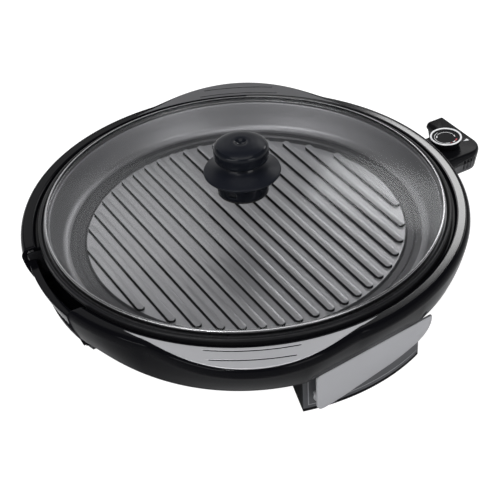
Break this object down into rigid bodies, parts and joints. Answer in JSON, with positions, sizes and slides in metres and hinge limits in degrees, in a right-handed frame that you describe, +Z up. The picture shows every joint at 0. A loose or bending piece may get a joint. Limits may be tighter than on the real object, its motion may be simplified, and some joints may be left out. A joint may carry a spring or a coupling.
{
  "type": "electric indoor grill with lid",
  "caption": "Round electric table grill with a ribbed lift-out pan, loose glass lid, slide-out fat tray, swing-down tilt feet and a plug-in thermostat.",
  "frame": {"origin": "on the table, under the middle of the pan", "axes": "+X to the right with the front handle towards the viewer, +Y away towards the rear handle, +Z up"},
  "size_m": [0.4812, 0.4896, 0.1706],
  "materials": {
    "gloss_black": "high-gloss black moulding",
    "dark_plastic": "dark grey moulding, lightly textured",
    "leg_grey": "satin dark grey moulding",
    "satin_silver": "silver-lacquered plastic, satin",
    "coated_pan": "die-cast aluminium under a dark grey non-stick coat",
    "clear_glass": "clear tempered glass",
    "polished_steel": "bright rolled stainless band",
    "steel": "plain steel",
    "element_steel": "dull heating-element sheath",
    "aluminium": "bright pressed sheet",
    "rubber": "black rubber",
    "brass": "plain brass",
    "white_plastic": "white print or moulding"
  },
  "bodies": {
    "base": {"base_shell": "gloss_black", "mounting_posts": "steel", "bottom_cover": "dark_plastic", "cover_screws": "steel", "front_handle_panel": "satin_silver", "rear_handle_panel": "satin_silver", "heat_reflector": "aluminium", "reflector_screws": "steel", "heating_element": "element_steel", "element_clips": "steel", "terminal_pins": "steel", "socket_block": "dark_plastic", "front_leg": "leg_grey", "rear_leg": "leg_grey", "leg_screws": "steel", "foot_pads": "rubber", "tilt_pins": "steel"},
    "tilt_foot_front": {"front_tilt_foot": "satin_silver"},
    "tilt_foot_rear": {"rear_tilt_foot": "satin_silver"},
    "tray": {"drip_tray": "gloss_black"},
    "pan": {"grill_pan": "coated_pan"},
    "lid": {"lid_glass": "clear_glass", "lid_band": "polished_steel", "knob_gasket": "rubber", "knob_collar": "gloss_black", "knob_guard": "gloss_black", "knob_cap": "gloss_black", "knob_screw": "steel", "knob_washer": "steel"},
    "thermostat": {"thermostat_top": "gloss_black", "thermostat_bottom": "dark_plastic", "case_screws": "steel", "contact_block": "dark_plastic", "contact_sleeves": "brass", "probe_rod": "steel", "thermostat_switch": "steel", "cord_gland": "rubber", "dial_pointer": "white_plastic"},
    "dial": {"dial_knob": "gloss_black", "dial_ring": "white_plastic", "dial_shaft": "steel"}
  },
  "joints": [
    {"name": "pan_lift", "type": "slide", "parent": "base", "child": "pan", "axis": [0, 0, 1], "range_m": [0, 0.12]},
    {"name": "lid_lift", "type": "slide", "parent": "pan", "child": "lid", "axis": [0, 0, 1], "range_m": [0, 0.2]},
    {"name": "thermostat_pull", "type": "slide", "parent": "base", "child": "thermostat", "axis": [0.8746, 0.4848, 0], "range_m": [0, 0.12]},
    {"name": "dial_turn", "type": "hinge", "parent": "thermostat", "child": "dial", "pos_m": [0.22128, 0.12266, 0.078], "axis": [0, 0, 1], "range_deg": [0, 270]},
    {"name": "tray_pull", "type": "slide", "parent": "base", "child": "tray", "axis": [-0.8829, -0.4695, 0], "range_m": [0, 0.1]},
    {"name": "tilt_front", "type": "hinge", "parent": "base", "child": "tilt_foot_front", "pos_m": [0.06298, -0.20962, 0.022], "axis": [-0.5592, 0.829, 0], "range_deg": [0, 28]},
    {"name": "tilt_rear", "type": "hinge", "parent": "base", "child": "tilt_foot_rear", "pos_m": [-0.17076, 0.13692, 0.022], "axis": [-0.5592, 0.829, 0], "range_deg": [0, 28]}
  ]
}
